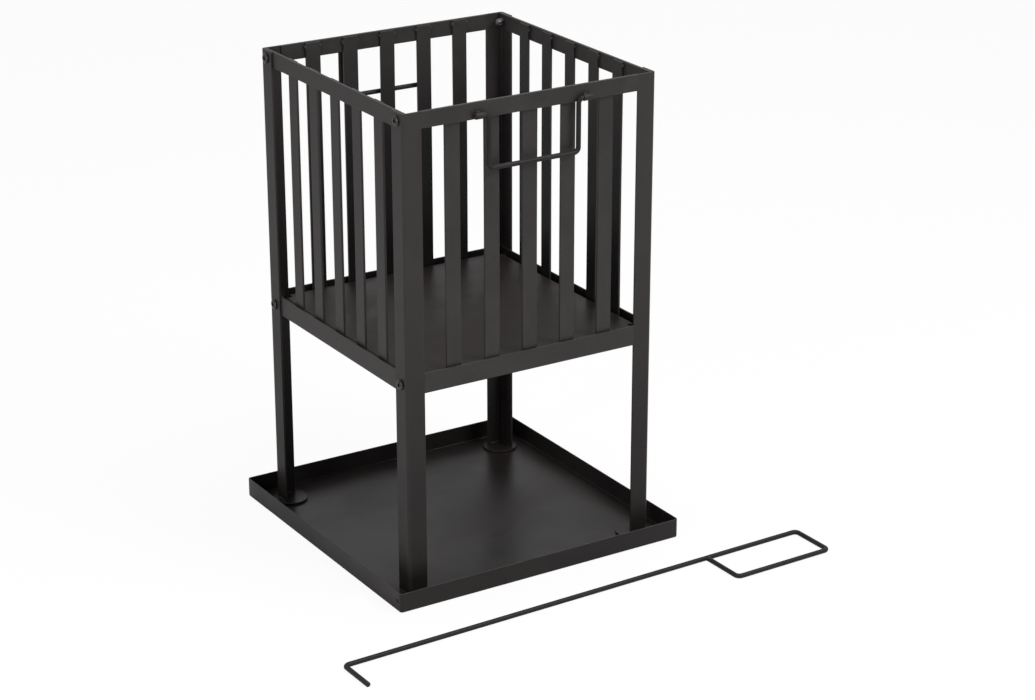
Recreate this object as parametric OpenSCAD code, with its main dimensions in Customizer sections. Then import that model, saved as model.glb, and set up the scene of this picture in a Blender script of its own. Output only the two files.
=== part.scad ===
// Square steel fire basket: two welded side frames and two bolted side panels of flat bar
// on four angle legs, with a loose fire plate, two bail handles, an ash tray and a poker.
// The origin is the middle of the tray's underside, +Z is up and the front is -Y.

/* [Ash tray] */
// Side length of the square tray
tray_w = 400; // [390:5:600]
// Height of the tray's rim
tray_h = 25; // [15:1:60]
// Thickness of the tray's sheet
tray_t = 1.5; // [1:0.5:3]
// Outer radius of the tray's upright corners
tray_corner_r = 4; // [3.5:0.5:12]
// Diameter of the hanging hole in the tray's left rim
tray_hole_d = 4.5; // [3:0.5:6]
// Distance of the hanging hole from the tray's front corner
tray_hole_inset = 6.5; // [6.5:0.5:60]
// Height of the hanging hole below the rim's top edge
tray_hole_drop = 11; // [4:1:11]

/* [Basket frame] */
// Outer width of the square basket
basket_w = 344; // [240:2:360]
// Height of the top edge above the ground
top_z = 600; // [420:5:800]
// Width of each flange of the angle legs
leg_w = 25; // [22:1:40]
// Thickness of the angle legs
leg_t = 2.5; // [2:0.5:4]
// Inner bend radius of the legs
leg_bend_r = 1; // [0.5:0.5:3]
// Diameter of the round foot discs
foot_d = 45; // [36:1:60]
// Thickness of the foot discs
foot_t = 3; // [2:0.5:6]

/* [Rails] */
// Height of the top rails
top_rail_h = 20; // [18:1:30]
// Thickness of the top rails
top_rail_t = 4; // [3:0.5:6]
// Height of the lower rails
low_rail_h = 26; // [20:1:40]
// Thickness of the lower rails
low_rail_t = 2; // [2:0.5:3]
// Depth of the inward flange of the front and back lower rails
low_flange = 22; // [16:1:30]
// Inner bend radius of the lower rails
low_bend_r = 1; // [0.5:0.5:2]
// Height of the lower rails' underside above the ground
low_rail_z = 259; // [120:1:300]

/* [Bars] */
// Bars in each side
bars = 5; // [3:1:6]
// Width of a bar
bar_w = 20; // [12:1:24]
// Thickness of a bar
bar_t = 3; // [2:0.5:5]
// Distance of the bar tops below the top edge, 0 for flush
bar_drop = 1; // [0:1:12]

/* [Fire plate] */
// Thickness of the fire plate
plate_t = 1.5; // [1:0.5:4]
// Distance of the plate's top below the lower rails' top edge
plate_drop = 5; // [2:0.5:12]
// Gap between the plate and the bars
plate_gap = 2; // [1:0.5:4]
// Side of the corner cut-outs beside 25 mm legs, longer beside wider legs
plate_notch = 10; // [10:1:30]

/* [Handles] */
// Diameter of the handle and poker rod
rod_d = 6; // [5:0.5:8]
// Distance between the middles of a handle's arms
handle_w = 122; // [80:2:160]
// Drop of the grip below the sleeves
handle_drop = 64.5; // [40:0.5:90]
// Bend radius of the rod's middle line
rod_bend = 6; // [5:1:12]
// Length of a sleeve
sleeve_l = 12; // [8:1:30]
// Wall of a sleeve
sleeve_wall = 1; // [1:0.1:3]
// Radial running gap of the rod in its sleeve
sleeve_fit = 0.1; // [0.05:0.01:0.1]
// Height of the sleeves above the top rail's lower edge
sleeve_rise = 5; // [0:0.5:10]

/* [Bolts] */
// Bolt thread diameter
bolt_d = 6; // [5:1:6]
// Bolt length under the head
bolt_l = 12; // [11:1:14]
// Radial gap of a bolt in its holes
bolt_fit = 0.2; // [0.1:0.1:0.5]
// Radial gap of a bolt in its nut
thread_fit = 0.05; // [0.01:0.01:0.1]
// Bolt head diameter
head_d = 13; // [10:0.5:16]
// Bolt head height
head_h = 3.3; // [3:0.1:5]
// Size of the hex socket across its flats
socket_af = 4; // [3:0.5:5]
// Size of the cap nuts across their flats
nut_af = 10; // [8:0.5:12]
// Height of the cap nuts' hexagon
nut_t = 5; // [4:0.5:6]
// Diameter of the cap nuts' dome
dome_d = 9.5; // [8.5:0.1:10]
// Height of the cap nuts over their dome
cap_h = 12; // [11:0.5:14]

/* [Poker] */
// Length of the poker from hook to loop
poker_l = 659; // [400:1:800]
// Width of the loop grip
loop_w = 69; // [40:1:90]
// Length of the loop grip
loop_l = 146; // [80:1:200]
// Length of the hook
hook_l = 57; // [30:1:90]
// Distance of the poker's shaft in front of the tray
poker_gap = 77; // [40:1:200]
// Turn of the poker on the ground
poker_turn = 1.1; // [-5:0.1:5]

/* [Hidden] */
$fn = 48;
front_y = -basket_w / 2;                  // outer face of the front legs
leg_z = tray_t + foot_t;                  // underside of the legs
leg_mid = basket_w / 2 - leg_w / 2;       // middle of a leg's flanges from the axis
panel_x = basket_w / 2 - leg_t;           // outer face of the bolted rails
frame_l = basket_w - 2 * leg_w;           // length of the welded rails
end_gap = 0.2;                            // gap between the bolted rails and the legs' bend
panel_l = basket_w - 2 * (leg_t + leg_bend_r + end_gap);
side_flange = leg_w - leg_t - leg_bend_r - end_gap;  // flange of the bolted lower rails
top_rail_z = top_z - top_rail_h;
low_floor = low_rail_z + low_rail_t;      // upper face of the lower rails' flange
bolt_top_z = top_rail_z + top_rail_h / 2;
bolt_low_z = low_rail_z + low_rail_h / 2;
bar_h = top_z - bar_drop - low_floor;
bar_pitch = (frame_l - bars * bar_w) / (bars + 1) + bar_w;
plate_x = 2 * (panel_x - top_rail_t - bar_t - plate_gap);
plate_y = 2 * (basket_w / 2 - top_rail_t - bar_t - plate_gap);
plate_z = low_rail_z + low_rail_h - plate_drop;   // upper face of the fire plate
notch_y = plate_notch + (leg_w - 25) / 2; // keeps the cut-outs clear of the bolts
bore_spare = 0.5;                         // free depth beyond a bolt's end in its nut
rod_r = rod_d / 2;
sleeve_r = rod_r + sleeve_fit + sleeve_wall;
sleeve_seat = 0.1;                        // gap between a sleeve and its rail
pivot_y = basket_w / 2 + sleeve_r + sleeve_seat;  // axis of the handles
pivot_z = top_rail_z + sleeve_rise;
tip_out = 1;                              // how far a tip stands out of its sleeve
sleeve_x = handle_w / 2 + rod_bend;       // inner end of a sleeve
poker_y = -tray_w / 2 - poker_gap;
black = [0.16, 0.155, 0.15];
zinc = [0.45, 0.45, 0.46];

SIDES = ["front", "back", "left", "right"];
CORNERS = ["front_left", "front_right", "back_left", "back_right"];

// A block with four rounded upright edges
module round_block(w, h, r) {
    for (turn = [0, 90])
        rotate(turn)
            translate([-w / 2, r - w / 2, 0])
                cube([w, w - 2 * r, h]);
    for (sx = [-1, 1], sy = [-1, 1])
        translate([sx * (w / 2 - r), sy * (w / 2 - r), 0])
            cylinder(h = h, r = r);
}

// The section of a bent angle: its corner at the origin, a along X and b along Y
module angle_section(a, b, t, inner_r) {
    r = inner_r + t;
    translate([r, 0])
        square([a - r, t]);
    translate([0, r])
        square([t, b - r]);
    difference() {
        intersection() {
            square(r);
            translate([r, r])
                circle(r);
        }
        translate([r, r])
            circle(inner_r);
    }
}

// Puts a child that is made for the front left corner at corner i
module at_corner(i) {
    mirror([i % 2, 0, 0])
        mirror([0, i < 2 ? 0 : 1, 0])
            children();
}

// Puts a child that is made for the front or the left at side i
module at_side(i) {
    mirror([i == 3 ? 1 : 0, 0, 0])
        mirror([0, i == 1 ? 1 : 0, 0])
            children();
}

// A round bar of length l along +X
module rod(l) {
    rotate([0, 90, 0])
        cylinder(h = l, r = rod_r);
}

// A quarter bend that starts at the origin along +X and turns to +Y
module quarter_bend() {
    translate([0, rod_bend, 0])
        rotate(-90)
            rotate_extrude(angle = 90)
                translate([rod_bend, 0])
                    circle(rod_r);
}

module ash_tray() {
    color(black)
        difference() {
            round_block(tray_w, tray_h, tray_corner_r);
            translate([0, 0, tray_t])
                round_block(tray_w - 2 * tray_t, tray_h, tray_corner_r - tray_t);
            translate([-tray_w / 2, tray_hole_inset - tray_w / 2, tray_h - tray_hole_drop])
                rotate([0, 90, 0])
                    cylinder(h = 2 * (tray_corner_r + tray_t), d = tray_hole_d, center = true);
        }
}

// The hole in a left leg or rail for one bolt
module bolt_hole(z) {
    translate([-basket_w / 2, -leg_mid, z])
        rotate([0, 90, 0])
            cylinder(h = leg_w, r = bolt_d / 2 + bolt_fit, center = true);
}

module leg(i) {
    color(black)
        at_corner(i)
            difference() {
                translate([front_y, front_y, leg_z])
                    linear_extrude(top_z - leg_z)
                        angle_section(leg_w, leg_w, leg_t, leg_bend_r);
                bolt_hole(bolt_top_z);
                bolt_hole(bolt_low_z);
            }
}

module foot(i) {
    color(black)
        at_corner(i)
            translate([-leg_mid, -leg_mid, tray_t])
                cylinder(h = foot_t, d = foot_d);
}

module front_top_rail() {
    translate([-frame_l / 2, front_y, top_rail_z])
        cube([frame_l, top_rail_t, top_rail_h]);
}

module left_top_rail() {
    difference() {
        translate([-panel_x, -panel_l / 2, top_rail_z])
            cube([top_rail_t, panel_l, top_rail_h]);
        for (turn = [0, 1])
            mirror([0, turn, 0])
                bolt_hole(bolt_top_z);
    }
}

module top_rail(i) {
    color(black)
        at_side(i)
            if (i < 2)
                front_top_rail();
            else
                left_top_rail();
}

module front_low_rail() {
    translate([-frame_l / 2, front_y, low_rail_z])
        rotate([90, 0, 90])
            linear_extrude(frame_l)
                angle_section(low_flange, low_rail_h, low_rail_t, low_bend_r);
}

module left_low_rail() {
    difference() {
        translate([-panel_x, panel_l / 2, low_rail_z])
            rotate([90, 0, 0])
                linear_extrude(panel_l)
                    angle_section(side_flange, low_rail_h, low_rail_t, low_bend_r);
        for (turn = [0, 1])
            mirror([0, turn, 0])
                bolt_hole(bolt_low_z);
    }
}

module low_rail(i) {
    color(black)
        at_side(i)
            if (i < 2)
                front_low_rail();
            else
                left_low_rail();
}

// Bar j of side i, counted from the left on the front and back, from the front on the others
module bar(i, j) {
    along = (j - (bars + 1) / 2) * bar_pitch - bar_w / 2;
    color(black)
        at_side(i)
            if (i < 2)
                translate([along, front_y + top_rail_t, low_floor])
                    cube([bar_w, bar_t, bar_h]);
            else
                translate([top_rail_t - panel_x, along, low_floor])
                    cube([bar_t, bar_w, bar_h]);
}

// A sheet with its four edges folded down to the rails' flange and its corners cut out
module fire_plate() {
    skirt = plate_z - low_floor;
    color(black)
        difference() {
            translate([-plate_x / 2, -plate_y / 2, low_floor])
                cube([plate_x, plate_y, skirt]);
            translate([plate_t - plate_x / 2, plate_t - plate_y / 2, low_floor - plate_t])
                cube([plate_x - 2 * plate_t, plate_y - 2 * plate_t, skirt]);
            for (sx = [-1, 1], sy = [-1, 1])
                translate([sx * plate_x / 2, sy * plate_y / 2, low_floor + skirt / 2])
                    cube([2 * plate_notch, 2 * notch_y, 2 * skirt], center = true);
        }
}

module sleeve(i) {
    color(black)
        at_corner(i)
            translate([-sleeve_x - sleeve_l, -pivot_y, pivot_z])
                rotate([0, 90, 0])
                    difference() {
                        cylinder(h = sleeve_l, r = sleeve_r);
                        translate([0, 0, -1])
                            cylinder(h = sleeve_l + 2, r = rod_r + sleeve_fit);
                    }
}

// Half of the front handle: tip, upper bend, arm, lower bend and half the grip
module half_handle() {
    arm_l = handle_drop - 2 * rod_bend;
    tip_l = sleeve_l + tip_out;
    translate([-handle_w / 2, -pivot_y, pivot_z]) {
        translate([-rod_bend - tip_l, 0, 0])
            rod(tip_l);
        translate([-rod_bend, 0, 0])
            rotate([-90, 0, 0])
                quarter_bend();
        translate([0, 0, -rod_bend - arm_l])
            cylinder(h = arm_l, r = rod_r);
        translate([0, 0, -rod_bend - arm_l])
            rotate([0, 90, 0])
                rotate([90, 0, 0])
                    quarter_bend();
        translate([rod_bend, 0, -handle_drop])
            rod(handle_w / 2 - rod_bend);
    }
}

module handle(turn) {
    color(black)
        mirror([0, turn, 0])
            for (side = [0, 1])
                mirror([side, 0, 0])
                    half_handle();
}

// One bolt along +X with the underside of its head at the origin
module bolt() {
    cap_r = (pow(head_d / 2, 2) + pow(head_h, 2)) / (2 * head_h);
    difference() {
        intersection() {
            translate([cap_r - head_h, 0, 0])
                sphere(cap_r);
            rotate([0, -90, 0])
                cylinder(h = head_h, d = head_d);
        }
        translate([-head_h, 0, 0])
            rotate([0, 90, 0])
                cylinder(h = head_h, d = socket_af / cos(30), center = true, $fn = 6);
    }
    rotate([0, 90, 0])
        cylinder(h = bolt_l, d = bolt_d);
}

// The eight bolts, from outside through the left and right flanges
module panel_bolts() {
    color(black)
        for (i = [0:3], z = [bolt_low_z, bolt_top_z])
            at_corner(i)
                translate([-basket_w / 2, -leg_mid, z])
                    bolt();
}

// A cap nut along +X with its seat at the origin, on a rail of thickness rail_t
module cap_nut(rail_t) {
    bore_l = bolt_l - leg_t - rail_t + bore_spare;
    rotate([0, 90, 0])
        difference() {
            union() {
                cylinder(h = nut_t, d = nut_af / cos(30), $fn = 6);
                cylinder(h = cap_h - dome_d / 2, d = dome_d);
                translate([0, 0, cap_h - dome_d / 2])
                    sphere(d = dome_d);
            }
            translate([0, 0, -1])
                cylinder(h = bore_l + 1, r = bolt_d / 2 + thread_fit);
        }
}

module panel_nuts() {
    color(zinc)
        for (i = [0:3])
            at_corner(i) {
                translate([top_rail_t - panel_x, -leg_mid, bolt_top_z])
                    cap_nut(top_rail_t);
                translate([low_rail_t - panel_x, -leg_mid, bolt_low_z])
                    cap_nut(low_rail_t);
            }
}

// The rod lies on the ground: hook, shaft and a loop that comes back to the shaft
module poker() {
    shaft_l = poker_l - rod_d - 2 * rod_bend;
    across = loop_w - rod_d - 2 * rod_bend;
    back_l = loop_l - rod_d - 2 * rod_bend;
    color(black)
        rotate(poker_turn)
            translate([-poker_l / 2, poker_y, rod_r]) {
                translate([rod_r + rod_bend, 0, 0])
                    rod(shaft_l);
                translate([rod_r, -rod_bend, 0])
                    rotate([0, 0, -90])
                        rod(hook_l - rod_r - rod_bend);
                translate([rod_r + rod_bend, 0, 0])
                    rotate(180)
                        quarter_bend();
                translate([rod_r + rod_bend + shaft_l, 0, 0])
                    mirror([0, 1, 0])
                        quarter_bend();
                translate([poker_l - rod_r, -rod_bend, 0])
                    rotate(-90)
                        rod(across);
                translate([poker_l - rod_r, -rod_bend - across, 0])
                    rotate(-90)
                        mirror([0, 1, 0])
                            quarter_bend();
                translate([rod_r + rod_bend + shaft_l - back_l, rod_d - loop_w, 0])
                    rod(back_l);
                translate([rod_r + rod_bend + shaft_l - back_l, rod_d - loop_w, 0])
                    rotate(180)
                        mirror([0, 1, 0])
                            quarter_bend();
                translate([rod_r + shaft_l - back_l, rod_d - loop_w + rod_bend, 0])
                    rotate(90)
                        rod(across + rod_bend);
            }
}

ash_tray();
for (i = [0:3]) {
    leg(i);
    foot(i);
    sleeve(i);
    top_rail(i);
    low_rail(i);
    for (j = [1:bars])
        bar(i, j);
}
panel_bolts();
panel_nuts();
fire_plate();
handle(0);  // handle_front
handle(1);  // handle_back
poker();
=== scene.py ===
# A square steel fire basket with its ash tray, fire plate, two bail handles and a poker.
# Lengths are in metres, and mm turns millimetres into them. Sizes and places come from the
# frame's boxes, and the rest is in the dictionary beside each piece's code.
import math
from itertools import product

import bmesh
import bpy
import numpy as np
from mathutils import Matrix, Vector


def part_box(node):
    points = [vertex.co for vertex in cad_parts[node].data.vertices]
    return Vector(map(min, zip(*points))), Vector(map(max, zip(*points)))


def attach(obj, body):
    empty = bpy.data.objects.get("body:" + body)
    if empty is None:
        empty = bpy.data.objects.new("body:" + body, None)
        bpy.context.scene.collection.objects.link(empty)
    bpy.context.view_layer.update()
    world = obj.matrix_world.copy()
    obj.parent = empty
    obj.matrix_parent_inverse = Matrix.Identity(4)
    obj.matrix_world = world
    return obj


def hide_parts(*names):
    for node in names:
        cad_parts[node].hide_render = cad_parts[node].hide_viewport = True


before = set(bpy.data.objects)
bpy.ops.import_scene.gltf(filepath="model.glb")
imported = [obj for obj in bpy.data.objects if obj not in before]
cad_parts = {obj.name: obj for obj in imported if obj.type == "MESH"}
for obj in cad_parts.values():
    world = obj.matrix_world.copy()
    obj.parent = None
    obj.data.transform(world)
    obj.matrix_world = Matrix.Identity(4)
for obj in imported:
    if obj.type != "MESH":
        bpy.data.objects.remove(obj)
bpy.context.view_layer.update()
mm = 0.001
up = np.array([0.0, 0.0, 1.0])
sides = ("front", "back", "left", "right")
corners = ("front_left", "front_right", "back_left", "back_right")
print("frame loaded:", len(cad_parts), "nodes")

cameraLook = {
    "place": (-1.5706, -2.6469, 1.4227),
    "azimuth": -32.068,    # degrees, 0 looks along +Y
    "elevation": 21.232,    # degrees above level
    "lens": 92.08,    # mm, on a sensor this many mm wide
    "sensor": 36.0,
    "clip": (0.05, 200.0),
}


def addObject(name, data):
    thing = bpy.data.objects.new(name, data)
    bpy.context.scene.collection.objects.link(thing)
    return thing


def aimAlong(thing, direction):
    thing.rotation_mode = "QUATERNION"
    thing.rotation_quaternion = direction.to_track_quat("-Z", "Y")


def addCamera(look):
    azimuth, elevation = math.radians(look["azimuth"]), math.radians(look["elevation"])
    level = math.cos(elevation)
    back = Vector((math.sin(azimuth) * level, -math.cos(azimuth) * level, math.sin(elevation)))
    data = bpy.data.cameras.new("photoCamera")
    data.sensor_fit, data.sensor_width, data.lens = "HORIZONTAL", look["sensor"], look["lens"]
    data.clip_start, data.clip_end = look["clip"]
    camera = addObject("photoCamera", data)
    camera.location = look["place"]
    aimAlong(camera, -back)
    bpy.context.scene.camera = camera


addCamera(cameraLook)
print("camera placed")


# A shell is a dictionary of points, quads, flat end faces and a mask of its rounded edges.

def unit(vectors):
    return vectors / np.linalg.norm(vectors, axis=-1, keepdims=True)


def fullTurn(count):
    return np.linspace(0, 2 * math.pi, count, endpoint=False)


def quarterArc(radius, count):
    # Radius times the sine and radius times the cosine, over a quarter turn.
    angle = np.linspace(0, math.pi / 2, count)
    return radius * np.sin(angle), radius * np.cos(angle)


def roundOutline(cornerPoints, radii, steps=5, support=0.2 * mm):
    # Every corner becomes an arc tangent to its two sides: start + normal r (1 - cos a) +
    # along r sin a. One more point stands just before and just after each arc, so the flats
    # stay flat in shading.
    cornerPoints = np.asarray(cornerPoints, float)
    arrive = unit(cornerPoints - np.roll(cornerPoints, 1, axis=0))
    leave = np.roll(arrive, -1, axis=0)
    points, edge = [], []
    for corner, along, away, radius in zip(cornerPoints, arrive, leave, radii):
        sweep = math.acos(np.clip(along @ away, -1, 1))
        turn = np.sign(along[0] * away[1] - along[1] * away[0])
        normal = turn * np.array([-along[1], along[0]])
        reach = radius * math.tan(sweep / 2)
        start, end = corner - along * reach, corner + away * reach
        angle = np.linspace(0, sweep, steps + 1)[:, None]
        arc = start + normal * radius * (1 - np.cos(angle)) + along * radius * np.sin(angle)
        points += [start - along * support, arc, end + away * support]
        edge += [[0.0], np.full(steps + 1, 1.0 if turn > 0 else 0.0), [0.0]]
    return np.vstack(points), np.concatenate(edge)


def flatOutline(wide, thick, cut):
    return roundOutline([(0, 0), (wide, 0), (wide, thick), (0, thick)], (cut,) * 4)


def angleOutline(a, b, thick, bend, cut):
    # Two flanges a and b wide, with a bend of inside radius bend between them.
    points = [(0, 0), (a, 0), (a, thick), (thick, thick), (thick, b), (0, b)]
    return roundOutline(points, (thick + bend, cut, cut, bend, cut, cut))


def insetOutline(outline, distance):
    # Moves each point inwards along the mean normal of its two sides.
    step = unit(np.roll(outline, -1, axis=0) - outline)
    tangent = unit(step + np.roll(step, 1, axis=0))
    return outline + distance * np.stack([-tangent[:, 1], tangent[:, 0]], axis=1)


def shellFromRings(rings, edge, closed=False, caps=True):
    # rings is rows x columns x 3: columns run round and close, rows run along.
    rows, columns = rings.shape[:2]
    index = np.arange(rows * columns).reshape(rows, columns)
    low = index if closed else index[:-1]
    high = np.roll(index, -1, axis=0) if closed else index[1:]
    quads = np.stack([low, np.roll(low, -1, axis=1), np.roll(high, -1, axis=1), high], axis=-1)
    ends = [] if closed or not caps else [index[0][::-1], index[-1]]
    return {"points": rings.reshape(-1, 3), "quads": quads.reshape(-1, 4), "caps": ends,
            "edge": np.broadcast_to(edge, (rows, columns)).reshape(-1)}


def joinShells(shells):
    starts = np.cumsum([0] + [len(s["points"]) for s in shells])
    return {"points": np.vstack([s["points"] for s in shells]),
            "quads": np.vstack([s["quads"] + n for s, n in zip(shells, starts)]),
            "caps": [c + n for s, n in zip(shells, starts) for c in s["caps"]],
            "edge": np.concatenate([s["edge"] for s in shells])}


def placeShell(shell, origin, axes=np.eye(3)):
    # Local x, y and z run along the three axes, which may be mirrored.
    points = np.asarray(origin, float) + shell["points"] @ np.asarray(axes, float)
    return {**shell, "points": points}


def barShell(section, length, endRound, spacing, bow, endSheenWear=0.5, steps=3, support=0.3 * mm):
    # The section's outline is carried along z. At each end it shrinks on a quarter circle, which
    # rounds the end, and in between it bows sideways as half a sine wave.
    outline, edge = section
    sine, cosine = quarterArc(endRound, steps + 1)
    inset, height = endRound - sine, endRound - cosine
    count = max(2, int(round(length / spacing)))
    middle = np.linspace(endRound + support, length - endRound - support, count)
    z = np.concatenate([height, middle, length - height[::-1]])
    shrink = np.concatenate([inset, np.zeros(count), inset[::-1]])
    flat = np.stack([insetOutline(outline, d) for d in shrink])
    swing = np.sin(math.pi * z / length)[:, None]
    flat = flat + (swing * np.asarray(bow, float))[:, None, :]
    heights = np.broadcast_to(z[:, None, None], flat.shape[:2] + (1,))
    rounding = (shrink > 0) & (shrink < endRound)
    # The mask sets the lighter edge tone: a painted highlight, partly thin coat, on the rounded
    # ends and edges.
    mask = np.where(rounding[:, None], endSheenWear, edge[None, :])
    mask[[0, -1]] = 0.0    # the flat ends get no edge sheen or wear
    return shellFromRings(np.concatenate([flat, heights], axis=2), mask)


def bentPath(cornerPoints, bend, spacing, steps=10):
    # Straight lines joined by arcs of one radius, as points and unit tangents. An arc runs as
    # its start + normal r (1 - cos a) + along r sin a.
    cornerPoints = np.asarray(cornerPoints, float)
    points, tangents = [], []
    start = cornerPoints[0]
    for i in range(1, len(cornerPoints)):
        last = i == len(cornerPoints) - 1
        along = unit(cornerPoints[i] - cornerPoints[i - 1])
        away = along if last else unit(cornerPoints[i + 1] - cornerPoints[i])
        sweep = 0.0 if last else math.acos(np.clip(along @ away, -1, 1))
        end = cornerPoints[i] - along * bend * math.tan(sweep / 2)
        count = max(2, int(np.linalg.norm(end - start) / spacing))
        share = np.linspace(0, 1, count + 1)[:, None]
        points.append(start + (end - start) * share)
        tangents.append(np.broadcast_to(along, (count + 1, 3)))
        if last:
            break
        normal = unit(away - along * (along @ away))
        angle = np.linspace(0, sweep, steps + 1)[1:-1, None]
        points.append(end + normal * bend * (1 - np.cos(angle)) + along * bend * np.sin(angle))
        tangents.append(along * np.cos(angle) + normal * np.sin(angle))
        start = cornerPoints[i] + away * bend * math.tan(sweep / 2)
    return np.vstack(points), np.vstack(tangents)


def ringsAlong(points, radii, across, side, around):
    # A ring round each point of a path: point + radius (across cos a + side sin a).
    angle = fullTurn(around)[:, None]
    directions = np.cos(angle) * across[..., None, :] + np.sin(angle) * side
    return points[:, None] + radii.reshape(len(points), -1, 1) * directions


unevenRod = {"depth": 0.012 * mm, "waves": (190, 57)}    # waves in radians a metre


def rodShell(cornerPoints, bend, side, radius, chamfer, spacing=9 * mm, around=28):
    # A circle carried along the bent path; its two ends shrink over a small chamfer, and the
    # product of two waves makes its radius a little uneven.
    points, tangents = bentPath(cornerPoints, bend, spacing)
    run = np.cumsum(np.linalg.norm(np.diff(points, axis=0), axis=1))[:-1]
    points = np.vstack([points[0], points[0] + tangents[0] * chamfer, points[1:-1],
                        points[-1] - tangents[-1] * chamfer, points[-1]])
    tangents = np.vstack([tangents[0], tangents[0], tangents[1:-1], tangents[-1], tangents[-1]])
    radii = np.full(len(points), radius)
    radii[[0, -1]] -= chamfer
    slow, slower = (np.sin(run * wave) for wave in unevenRod["waves"])
    radii[2:-2] += unevenRod["depth"] * slow * slower
    side = np.asarray(side, float)
    edge = np.zeros((len(points), 1))
    edge[[0, 1, -2, -1]] = 1.0
    return shellFromRings(ringsAlong(points, radii, np.cross(side, tangents), side, around), edge)


def latheShell(radii, heights, around=40, closed=False, caps=True, edge=0.0):
    # Radii may be one number a row, or a row of numbers round the axis. The axis is z.
    angle = fullTurn(around)
    heights = np.asarray(heights, float)[:, None]
    radii = np.asarray(radii, float).reshape(len(heights), -1)
    rings = np.broadcast_arrays(radii * np.cos(angle), radii * np.sin(angle), heights)
    edge = np.broadcast_to(edge, len(heights))[:, None]
    return shellFromRings(np.stack(rings, axis=-1), edge, closed=closed, caps=caps)


def turnedShell(rows, around):
    # rows are radius, height and the share of edge sheen and wear, and a radius is one number or
    # one for each direction.
    # The first and last are on the axis, which closes the shell.
    radii, heights, sheenWear = zip(*rows)
    radii = np.stack([np.broadcast_to(radius, around) for radius in radii])
    return latheShell(radii, heights, around=around, caps=False, edge=sheenWear)


def easedRim(radius, height, ease, count):
    # Up the side of a disc whose two rims are quarter circles.
    sine, cosine = quarterArc(ease, count)
    return (np.concatenate([radius - ease + sine, radius - ease + cosine]),
            np.concatenate([ease - cosine, height - ease + sine]))


beadLook = {"pitch": 1.9 * mm, "step": 0.35 * mm, "fewest": 14, "around": 14,
            "least": 0.04, "ripple": 0.10, "swell": 0.14, "lumps": 0.06}


def weldBead(start, end, radius, seed, look=beadLook):
    # A ripple along a line. The radius fades at both ends, as the root of 1 less the fifth
    # power of the distance from the middle, swells and falls once a pitch and slowly along the
    # line, and has three soft lumps round it.
    start, end = np.asarray(start, float), np.asarray(end, float)
    length = np.linalg.norm(end - start)
    along = (end - start) / length
    across = unit(np.cross(along, (0.31, 0.53, 0.79)))    # any direction but along will do
    side = np.cross(along, across)
    share = np.linspace(0, 1, max(look["fewest"], int(length / look["step"])))
    fade = np.sqrt(np.clip(1 - np.abs(2 * share - 1) ** 5, 0, 1))
    ripple = 1 + look["ripple"] * np.sin(2 * math.pi * share * length / look["pitch"] + seed)
    swell = 1 + look["swell"] * np.sin(5.1 * share + 1.7 * seed)
    radii = radius * (look["least"] + (1 - look["least"]) * fade) * ripple * swell
    twist = 3 * fullTurn(look["around"])[None, :] + 9 * share[:, None] + seed
    radii = radii[:, None] * (1 + look["lumps"] * np.sin(twist))
    points = start + along * length * share[:, None]
    rings = ringsAlong(points, radii, across, side, look["around"])
    return shellFromRings(rings, np.zeros((len(share), 1)))


def makePiece(name, shell, material, body, stands=(), smoothAngle=180):
    mesh = bpy.data.meshes.new(name)
    faces = shell["quads"].tolist() + [c.tolist() for c in shell["caps"]]
    mesh.from_pydata(shell["points"], [], faces)
    mask = mesh.attributes.new("edge", "FLOAT", "POINT")
    mask.data.foreach_set("value", shell["edge"].astype(np.float32))
    work = bmesh.new()
    work.from_mesh(mesh)
    bmesh.ops.remove_doubles(work, verts=work.verts, dist=1e-6)
    bmesh.ops.recalc_face_normals(work, faces=work.faces)
    work.to_mesh(mesh)
    work.free()
    mesh.shade_smooth()
    mesh.set_sharp_from_angle(angle=math.radians(smoothAngle))
    mesh.materials.append(material)
    piece = addObject(name, mesh)
    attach(piece, body)
    if stands:
        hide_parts(*stands)
    return piece


def makeSkin(node, shell, material, body="basket", smoothAngle=50):
    # The piece that stands for one node of the frame.
    return makePiece(node + "_skin", shell, material, body, [node], smoothAngle)


def applyModifiers(piece):
    # Puts the piece's finished surface into its own mesh.
    graph = bpy.context.evaluated_depsgraph_get()
    finished = bpy.data.meshes.new_from_object(
        piece.evaluated_get(graph), preserve_all_data_layers=True, depsgraph=graph)
    piece.modifiers.clear()
    old, piece.data = piece.data, finished
    bpy.data.meshes.remove(old)


def feed(tree, socket, value):
    # Another node's output is linked to the socket, and anything else is set on it.
    if isinstance(value, bpy.types.NodeSocket):
        tree.links.new(value, socket)
    else:
        socket.default_value = value


def addNode(tree, kind, settings=None, **values):
    # settings are the node's own properties; values go to inputs by name, _ standing for a space.
    node = tree.nodes.new(kind)
    for key, value in (settings or {}).items():
        setattr(node, key, value)
    for key, value in values.items():
        feed(tree, node.inputs[key.replace("_", " ")], value)
    return node


def addMath(tree, operation, first, second, clamp=False):
    node = addNode(tree, "ShaderNodeMath", {"operation": operation, "use_clamp": clamp})
    feed(tree, node.inputs[0], first)
    feed(tree, node.inputs[1], second)
    return node.outputs[0]


def addNoise(tree, vector, scale, **values):
    settings = {"noise_dimensions": "3D"}
    node = addNode(tree, "ShaderNodeTexNoise", settings, Vector=vector, Scale=scale, **values)
    return node.outputs[0]


def addRange(tree, value, come=(0.0, 1.0), leave=(0.0, 1.0), shape="LINEAR"):
    # Values between the two of come are spread between the two of leave.
    node = addNode(tree, "ShaderNodeMapRange", {"interpolation_type": shape}, Value=value,
                   From_Min=come[0], From_Max=come[1], To_Min=leave[0], To_Max=leave[1])
    return node.outputs[0]


def addMix(tree, share, first, second, blend="MIX"):
    node = addNode(tree, "ShaderNodeMix", {"data_type": "RGBA", "blend_type": blend})
    feed(tree, node.inputs[0], share)
    for socket, colour in ((node.inputs[6], first), (node.inputs[7], second)):
        feed(tree, socket, (*colour, 1) if isinstance(colour, tuple) else colour)
    return node.outputs[2]


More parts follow.
